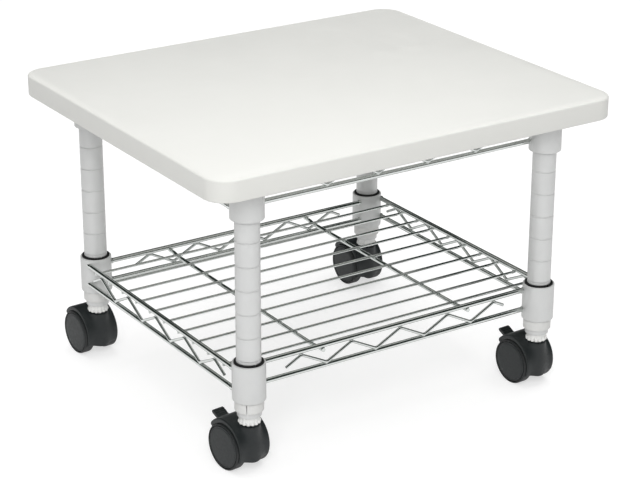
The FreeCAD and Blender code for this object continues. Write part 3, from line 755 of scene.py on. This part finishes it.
def make_support_rings():
    """The split rings clipped round the posts under the shelf."""
    low, high = node_box("shelf_support_rings")
    radius = high.x - POSTS["front_right"].x
    outline = rounded([
        (RING_BORE, high.z, 0.3), (RING_BORE, low.z, 0.3), (radius, low.z, 0.9), (radius, high.z, 0.4),
    ])
    rings = []
    for corner, angle in RING_SLIT_ANGLE.items():
        half_slit = math.degrees(RING_SLIT / 2 / radius)
        ring = lathe(outline, 64, angle + half_slit, 360 - 2 * half_slit)
        rings.append(moved(ring, to_post(corner)))
    piece = mesh_object("shelf_support_rings_piece", joined(rings))
    finish_piece(piece, "root", "grey_plastic", "shelf_support_rings")


def make_sockets():
    """Nylon sockets: a plug in the post, and below it a fluted neck with a scalloped flange."""
    low, high = node_box("caster_sockets")
    post_end = node_box("front_left_post")[0].z
    radius, neck = SOCKET_FLANGE_RADIUS, SOCKET_NECK_RADIUS
    flange_top = low.z + SOCKET_FLANGE_HEIGHT

    def fluted(reach, angle, z):
        if reach < neck - 0.5 or z > post_end - 0.1:
            return reach
        depth = SOCKET_FLANGE_FLUTES if z < flange_top else SOCKET_NECK_FLUTES
        return reach - depth * (1 - abs(math.cos(SOCKET_LOBES / 2 * angle)))

    outline = rounded([
        (SOCKET_BORE, low.z, 0), (radius - 0.5, low.z, 0.5), (radius, low.z + 1.0, 0.5),
        (radius, flange_top - 0.6, 0.5), (neck, flange_top + 0.5, 0.4), (neck, post_end - 0.2, 0),
        (neck, post_end, 0), (SOCKET_PLUG_RADIUS, post_end, 0), (SOCKET_PLUG_RADIUS, high.z - 1.5, 0.5),
        (10.0, high.z, 0.3), (SOCKET_BORE, high.z, 0.3),
    ])
    socket = lathe(outline, SOCKET_LOBES * 10, shape=fluted)
    sockets = [moved(socket, to_post(corner)) for corner in CORNERS]
    piece = mesh_object("caster_sockets_piece", joined(sockets))
    finish_piece(piece, "root", "white_nylon", "caster_sockets")


# ---------------------------------------------------------------- welds of the wire frames
def bead(place, size):
    """A weld nugget: a squashed ball with a slightly uneven skin."""
    points, faces = [], []
    rows, columns = 6, 10
    for row in range(rows + 1):
        up = math.pi * row / rows
        for column in range(columns):
            around = 2 * math.pi * column / columns
            uneven = 1 + 0.06 * math.sin(3 * around + place[0]) * math.sin(2 * up)
            points.append((
                place[0] + size[0] * uneven * math.sin(up) * math.cos(around),
                place[1] + size[1] * uneven * math.sin(up) * math.sin(around),
                place[2] + size[2] * uneven * math.cos(up),
            ))
    for row in range(rows):
        for column in range(columns):
            following = (column + 1) % columns
            near, far = row * columns, (row + 1) * columns
            faces.append((near + column, near + following, far + following, far + column))
    return points, faces


def turned(size):
    """A bead's size on a short side, where X and Y change places."""
    return (size[1], size[0], size[2])


def make_welds():
    """Beads where wire meets wire and where rails meet collars."""
    for frame_name in ("top_frame", "shelf"):
        long_low, long_high = node_box(frame_name + "_long_rails")
        short_low, short_high = node_box(frame_name + "_short_rails")
        zigzag_low, zigzag_high = node_box(frame_name + "_long_zigzags")
        rail_y = long_high.y - RAIL_RADIUS
        rail_x = short_high.x - RAIL_RADIUS
        post_x, post_y = POSTS["rear_right"]
        collar = node_box(frame_name + "_collars")[1].x - post_x
        long_end = post_x - math.sqrt(collar ** 2 - (post_y - rail_y) ** 2) - RAIL_BEAD_SINK
        short_end = post_y - math.sqrt(collar ** 2 - (rail_x - post_x) ** 2) - RAIL_BEAD_SINK
        beads = []
        for sx in (-1, 1):
            for sy in (-1, 1):
                for z in (long_low.z + RAIL_RADIUS, long_high.z - RAIL_RADIUS):
                    beads.append(bead((sx * long_end, sy * rail_y, z), RAIL_BEAD))
                for z in (short_low.z + RAIL_RADIUS, short_high.z - RAIL_RADIUS):
                    beads.append(bead((sx * rail_x, sy * short_end, z), turned(RAIL_BEAD)))
        shift = (zigzag_high.x + zigzag_low.x) / 2 + (ZIGZAG_LONG_STUB - ZIGZAG_SHORT_STUB) / 2
        for side in (-1, 1):
            for step in range(-ZIGZAG_HALF_STEPS, ZIGZAG_HALF_STEPS + 1):
                along = step * ZIGZAG_PITCH / 2
                if step % 2 == 0:
                    long_z = long_high.z - RAIL_RADIUS - ZIGZAG_BEAD_DROP
                    short_z = short_high.z - RAIL_RADIUS - ZIGZAG_BEAD_DROP
                else:
                    long_z = long_low.z + RAIL_RADIUS + ZIGZAG_BEAD_RISE
                    short_z = short_low.z + RAIL_RADIUS + ZIGZAG_BEAD_RISE
                beads.append(bead((along + shift, side * (rail_y + 1.0), long_z), ZIGZAG_BEAD))
                beads.append(bead((side * (rail_x + 1.0), along, short_z), turned(ZIGZAG_BEAD)))
        if frame_name == "shelf":
            beads += mat_beads(rail_x, rail_y)
        piece = mesh_object(frame_name + "_weld_beads", joined(beads))
        finish_piece(piece, "root", "chrome_wire")


def mat_beads(rail_x, rail_y):
    """Beads at both ends of the mat wires and where they cross the two wires under them."""
    low, high = node_box("shelf_mat_wires")
    mat_z = (low.z + high.z) / 2
    cross_top = node_box("shelf_cross_wires")[1].z
    pitch = ZIGZAG_PITCH / 2
    beads = []
    for index in range(MAT_WIRES):
        y = (index - (MAT_WIRES - 1) / 2) * pitch
        for side in (-1, 1):
            beads.append(bead((side * (rail_x - 1.0), y, mat_z + 1.1), MAT_END_BEAD))
            beads.append(bead((side * CROSS_X, y, mat_z - MAT_RADIUS), MAT_CROSSING_BEAD))
    for side in (-1, 1):
        for end in (-1, 1):
            z = cross_top - CROSS_RADIUS + 1.9
            beads.append(bead((side * CROSS_X, end * rail_y, z), CROSS_END_BEAD))
    return beads


# ---------------------------------------------------------------- casters
def smooth_least(first, second, blend):
    """The smaller of two distances, blended where they are nearly equal."""
    near = max(blend - abs(first - second), 0.0)
    return min(first, second) - near * near / (4 * blend)


def hood_distance(x, y, z, axle_y, axle_z):
    """How far a point is outside the hood's skin, a shell that blends into the stem's boss."""
    shell = math.hypot(y - axle_y - HOOD_SHIFT, z - axle_z - HOOD_RISE) - HOOD_RADIUS
    from_stem = math.hypot(x, y)
    boss = max(from_stem - BOSS_RADIUS, z - HOOD_TOP)
    return smooth_least(shell, boss, BOSS_BLEND)


def hood_reach(x, angle, axle_y, axle_z):
    """The hood skin's distance from the axle, at x across and an angle round it."""
    along_y, along_z = math.cos(angle), math.sin(angle)

    def outside(reach):
        return hood_distance(x, axle_y + reach * along_y, axle_z + reach * along_z, axle_y, axle_z) > 0

    step = 0.5
    far = HOOD_RADIUS + HOOD_SEARCH
    while far > HOOD_INNER_RADIUS + 2 * HOOD_LEAST_WALL and outside(far - step):
        far -= step
    near = far - step
    for _ in range(8):
        middle = (near + far) / 2
        if outside(middle):
            far = middle
        else:
            near = middle
    return near


def samples(first, last, count, edge, edge_steps=4):
    """Values from first to last, closer together within an edge at each end."""
    inner = [first + edge + (last - first - 2 * edge) * step / count for step in range(count + 1)]
    fine = [edge * (1 - math.cos(math.pi / 2 * step / edge_steps)) for step in range(edge_steps)]
    return [first + f for f in fine] + inner + [last - f for f in reversed(fine)]


def rounding(distance, edge):
    """How far a rounded edge has dropped at this distance from its side."""
    if distance >= edge:
        return 0.0
    return edge - math.sqrt(max(edge * edge - (edge - distance) ** 2, 0.0))


def hood_shell(axle_y, axle_z):
    """The curved cover over both wheels, which swells round the stem."""
    xs = samples(-HOOD_HALF_WIDTH, HOOD_HALF_WIDTH, 60, HOOD_SIDE_EDGE)
    first, last = math.radians(HOOD_BACK_ANGLE), math.radians(HOOD_FRONT_ANGLE)
    angles = samples(first, last, 110, HOOD_END_EDGE / HOOD_RADIUS)
    loops = []
    for x in xs:
        outer_row, inner_row = [], []
        for angle in angles:
            from_end = min(angle - first, last - angle) * HOOD_RADIUS
            drop = rounding(from_end, HOOD_END_EDGE)
            drop += rounding(HOOD_HALF_WIDTH - abs(x), HOOD_SIDE_EDGE)
            reach = hood_reach(x, angle, axle_y, axle_z) - min(drop, HOOD_END_EDGE)
            reach = max(reach, HOOD_INNER_RADIUS + HOOD_LEAST_WALL)
            c, s = math.cos(angle), math.sin(angle)
            outer_row.append((x, axle_y + reach * c, axle_z + reach * s))
            inner_row.append((x, axle_y + HOOD_INNER_RADIUS * c, axle_z + HOOD_INNER_RADIUS * s))
        loops.append(outer_row + inner_row[::-1])
    points = [point for loop in loops for point in loop]
    count = len(angles)
    size = 2 * count
    faces = []
    for row in range(len(xs) - 1):
        near, far = row * size, (row + 1) * size
        for column in range(size):
            following = (column + 1) % size
            faces.append((near + column, near + following, far + following, far + column))
    for row in (0, len(xs) - 1):
        first_point = row * size
        for column in range(count - 1):
            opposite = size - 1 - column
            faces.append((first_point + column, first_point + column + 1,
                          first_point + opposite - 1, first_point + opposite))
    return points, faces


def arc(radius, first, last, steps):
    """(y, z) points on an arc, from one angle to another in degrees."""
    turns = [math.radians(first + (last - first) * step / steps) for step in range(steps + 1)]
    return [(radius * math.cos(turn), radius * math.sin(turn)) for turn in turns]


def make_hood(corner):
    """The shell, and the web between the wheels that carries the axle and the stem."""
    axle_y, axle_z = axle_place(corner)
    place = at_caster(corner)
    to_axle = Matrix.Translation((0, axle_y, axle_z))
    shell = mesh_object(corner + "_hood_piece", hood_shell(axle_y, axle_z), place)
    web_outline = arc(WEB_RADIUS, HOOD_BACK_ANGLE, HOOD_FRONT_ANGLE, 40)
    web_outline += arc(WEB_HUB_RADIUS, HOOD_FRONT_ANGLE, 360 + HOOD_BACK_ANGLE, 24)
    web = mesh_object("web", moved(slab(web_outline, WEB_HALF_WIDTH), to_axle), place)
    stem_room = lathe([
        (0, 0), (STEM_RECESS_RADIUS, 0), (STEM_RECESS_RADIUS, BOSS_BOTTOM),
        (STEM_HOLE_RADIUS, BOSS_BOTTOM), (STEM_HOLE_RADIUS, HOOD_TOP), (SEAT_RADIUS, HOOD_TOP),
        (SEAT_RADIUS, SEAT_TOP), (SOCKET_ROOM_RADIUS, SEAT_TOP), (SOCKET_ROOM_RADIUS, HOOD_TOP + 20),
        (0, HOOD_TOP + 20),
    ], 80)
    rooms = [stem_room]
    if corner in BRAKED:
        rooms.append(moved(slab(LEVER_SLOT, LEVER_HALF_WIDTH + LEVER_PLAY), to_axle))
    for part in (shell, web):
        carve(part, [mesh_object("room", room, place) for room in rooms])
    parts = [shell, web]
    if corner in BRAKED:
        parts.append(mesh_object("ears", moved(lever_ears(), to_axle), place))
    finish_piece(merge(parts), corner + "_fork", "hood_plastic", corner + "_hood")


def across(shape):
    """Turns a shape made about Z so that its axis lies along X."""
    return moved(shape, Matrix.Rotation(math.pi / 2, 4, "Y"))


def lever_ears():
    """The two bearings of the brake lever on the web's cheeks."""
    ears = []
    for side in (-1, 1):
        outline = rounded([
            (EAR_BORE, EAR_START, 0.2), (EAR_RADIUS, EAR_START, 0.4), (EAR_RADIUS, WEB_HALF_WIDTH, 0.4),
            (EAR_BORE, WEB_HALF_WIDTH, 0.2),
        ])
        outline = [(radius, side * z) for radius, z in outline]
        ears.append(moved(across(lathe(outline, 40)), Matrix.Translation((0, *LEVER_PIVOT))))
    return joined(ears)


def make_wheels(corner):
    """A wheel with rounded tread edges and, in its outer face, a domed disc with a raised rim."""
    axle_y, axle_z = axle_place(corner)
    radius = axle_z
    wheel = rounded([
        (HUB_BORE, HUB_INNER, 0.2), (HUB_RADIUS, HUB_INNER, 0.4), (HUB_RADIUS, WHEEL_WEB_INNER, 0.8),
        (RIM_INNER_RADIUS, WHEEL_WEB_INNER, 0.8), (RIM_INNER_RADIUS, WHEEL_INNER, 0.5),
        (radius, WHEEL_INNER, 1.2), (radius, WHEEL_OUTER, 1.5),
        (COVER_SEAT_RADIUS + 0.15, WHEEL_OUTER, 0.4), (COVER_SEAT_RADIUS, COVER_SEAT, 0),
        (HUB_BORE, COVER_SEAT, 0),
    ], 5)
    dome = [
        (r, COVER_CENTRE - (COVER_CENTRE - COVER_RING_TOP) * (r / COVER_RING_RADIUS) ** 2, 0)
        for r in COVER_DOME_STEPS
    ]
    disc = rounded([
        (0, COVER_SEAT, 0), (COVER_RADIUS, COVER_SEAT, 0), (COVER_RADIUS, COVER_EDGE_TOP, 0.5),
        (COVER_RADIUS - 1.0, COVER_RING_TOP, 0.3), (COVER_RADIUS - 1.4, COVER_GROOVE, 0.25),
        (COVER_RING_RADIUS + 0.4, COVER_GROOVE, 0.25), (COVER_RING_RADIUS, COVER_RING_TOP, 0.5),
        *dome, (0, COVER_CENTRE, 0),
    ], 4)
    for name, side in SIDES.items():
        body = f"{corner}_wheel_set_{name}"
        halves = (("wheel", wheel, "wheel_plastic"), ("wheel_cover", disc, "hood_plastic"))
        for node, outline, slot in halves:
            shape = across(lathe([(r, side * s) for r, s in outline], 96))
            shape = moved(shape, Matrix.Translation((0, axle_y, axle_z)))
            piece = mesh_object(f"{corner}_{node}_{name}_piece", shape, at_caster(corner))
            finish_piece(piece, body, slot, f"{corner}_{node}_{name}")


def make_lever(corner):
    """The foot lever: a tab with grip ribs, on a barrel with trunnions and end cams."""
    axle_y, axle_z = axle_place(corner)
    top, bottom, tip = LEVER_HALF_THICKNESS, -LEVER_HALF_THICKNESS, LEVER_LENGTH
    corners = [(0, bottom, 0), (tip - 2, bottom, 1.0), (tip, bottom + 1.0, 0.8), (tip, top, 0.9)]
    for rib in range(GRIP_RIBS):
        y = tip - 1.9 - rib * GRIP_PITCH
        crest = top + GRIP_RISE
        corners += [(y, top, 0.3), (y - 0.3, crest, 0.25), (y - 1.2, crest, 0.25), (y - 1.5, top, 0.3)]
    corners += [(8, top, 2.0), (4, top + 1.2, 1.0), (0, top + 1.2, 0)]
    tab = slab(rounded(corners, 3), LEVER_HALF_WIDTH, 0.35)
    slope = Matrix.Rotation(math.radians(LEVER_SLOPE), 4, "X")
    barrel = rounded([
        (0, -LEVER_HALF_WIDTH, 0), (BARREL_RADIUS, -LEVER_HALF_WIDTH, 0.4),
        (BARREL_RADIUS, LEVER_HALF_WIDTH, 0.4), (0, LEVER_HALF_WIDTH, 0),
    ])
    trunnion = [
        (0, -TRUNNION_END), (TRUNNION_RADIUS, -TRUNNION_END), (TRUNNION_RADIUS, TRUNNION_END),
        (0, TRUNNION_END),
    ]
    shapes = [moved(tab, slope), across(lathe(barrel, 48)), across(lathe(trunnion, 32))]
    for side in (-1, 1):
        cam = rounded([
            (0, CAM_START, 0), (CAM_RADIUS, CAM_START, 0.3), (CAM_RADIUS, TRUNNION_END, 0.3),
            (0, TRUNNION_END, 0),
        ])
        cam = across(lathe([(radius, side * s) for radius, s in cam], 40))
        shapes.append(moved(cam, Matrix.Translation((0, -CAM_SHIFT, CAM_SHIFT))))
    pivot = Matrix.Translation((0, axle_y + LEVER_PIVOT[0], axle_z + LEVER_PIVOT[1]))
    node = corner + "_brake_lever"
    piece = mesh_object(node + "_piece", moved(joined(shapes), pivot), at_caster(corner))
    finish_piece(piece, corner + "_brake", "hood_plastic", node)


def make_casters():
    """A hood and two wheels at each corner, and a lever at the front ones."""
    for corner in CORNERS:
        make_hood(corner)
        make_wheels(corner)
        if corner in BRAKED:
            make_lever(corner)


# ---------------------------------------------------------------- CAD nodes that stay
def dress_cad_nodes():
    """Gives every CAD node its material, and smooth shading with sharp edges kept."""
    for name, node in frame["nodes"].items():
        material = MATERIALS[SLOT_OF[name]]
        if node.material_slots:
            for holder in node.material_slots:
                holder.material = material
        else:
            node.data.materials.append(material)
        for face in node.data.polygons:
            face.use_smooth = True
        weld = node.modifiers.new("weld", "WELD")
        weld.merge_threshold = 1e-6
        split = node.modifiers.new("sharp", "EDGE_SPLIT")
        split.split_angle = SHARP


# ---------------------------------------------------------------- studio
def make_floor():
    """A floor wide enough to fill the view."""
    reach = 20.0
    mesh = bpy.data.meshes.new("floor")
    mesh.from_pydata([(-reach, -reach, 0), (reach, -reach, 0), (reach, reach, 0), (-reach, reach, 0)],
                     [], [(0, 1, 2, 3)])
    floor = bpy.data.objects.new("floor", mesh)
    bpy.context.scene.collection.objects.link(floor)
    mesh.materials.append(floor_paint())


def make_world():
    """A white world for the light, that gloss sees as white below and dark above."""
    world = bpy.data.worlds.new("studio")
    bpy.context.scene.world = world
    world.use_nodes = True
    nodes, links = world.node_tree.nodes, world.node_tree.links
    nodes.clear()
    output = nodes.new("ShaderNodeOutputWorld")
    mix = nodes.new("ShaderNodeMixShader")
    white = nodes.new("ShaderNodeBackground")
    white.inputs["Color"].default_value = (1.0, 1.0, 1.0, 1)
    white.inputs["Strength"].default_value = WORLD_STRENGTH
    room = nodes.new("ShaderNodeBackground")
    direction = nodes.new("ShaderNodeTexCoord")
    split = nodes.new("ShaderNodeSeparateXYZ")
    ramp = nodes.new("ShaderNodeValToRGB")
    ramp.color_ramp.elements[0].position = 0.0
    ramp.color_ramp.elements[0].color = (1.0, 1.0, 1.0, 1)
    ramp.color_ramp.elements[1].position = CEILING_START
    ramp.color_ramp.elements[1].color = CEILING_COLOUR
    path = nodes.new("ShaderNodeLightPath")
    links.new(direction.outputs["Generated"], split.inputs["Vector"])
    links.new(split.outputs["Z"], ramp.inputs["Fac"])
    links.new(ramp.outputs["Color"], room.inputs["Color"])
    links.new(path.outputs["Is Glossy Ray"], mix.inputs["Fac"])
    links.new(white.outputs["Background"], mix.inputs[1])
    links.new(room.outputs["Background"], mix.inputs[2])
    links.new(mix.outputs["Shader"], output.inputs["Surface"])


def area_light(name, place, target, size, power):
    """A square lamp that doesn't show in gloss."""
    light = bpy.data.lights.new(name, "AREA")
    light.shape = "SQUARE"
    light.size = size
    light.energy = power
    thing = bpy.data.objects.new(name, light)
    bpy.context.scene.collection.objects.link(thing)
    thing.location = place
    thing.rotation_euler = (Vector(target) - Vector(place)).to_track_quat("-Z", "Y").to_euler()
    thing.visible_glossy = False


def make_lights():
    """A lamp in front on the left, and a wide one overhead."""
    aim = (cad_low + cad_high) / 2
    area_light("key", KEY_PLACE, aim, KEY_SIZE, KEY_POWER)
    area_light("overhead", OVERHEAD_PLACE, aim, OVERHEAD_SIZE, OVERHEAD_POWER)


def make_camera():
    """The camera that was fitted to the photo."""
    camera = bpy.data.cameras.new("camera")
    camera.lens = LENS
    thing = bpy.data.objects.new("camera", camera)
    bpy.context.scene.collection.objects.link(thing)
    azimuth, elevation, roll = (math.radians(a) for a in (VIEW_AZIMUTH, VIEW_ELEVATION, VIEW_ROLL))
    turn = Matrix.Rotation(azimuth, 4, "Z")
    tilt = Matrix.Rotation(math.pi / 2 - elevation, 4, "X")
    spin = Matrix.Rotation(roll, 4, "Z")
    thing.matrix_world = Matrix.Translation(VIEW_FROM) @ turn @ tilt @ spin
    bpy.context.scene.camera = thing


make_camera()
make_world()
make_lights()
make_floor()
dress_cad_nodes()
make_top()
make_posts()
make_collars()
make_sleeves()
make_support_rings()
make_sockets()
make_welds()
make_casters()
bpy.context.scene.view_settings.view_transform = "Standard"
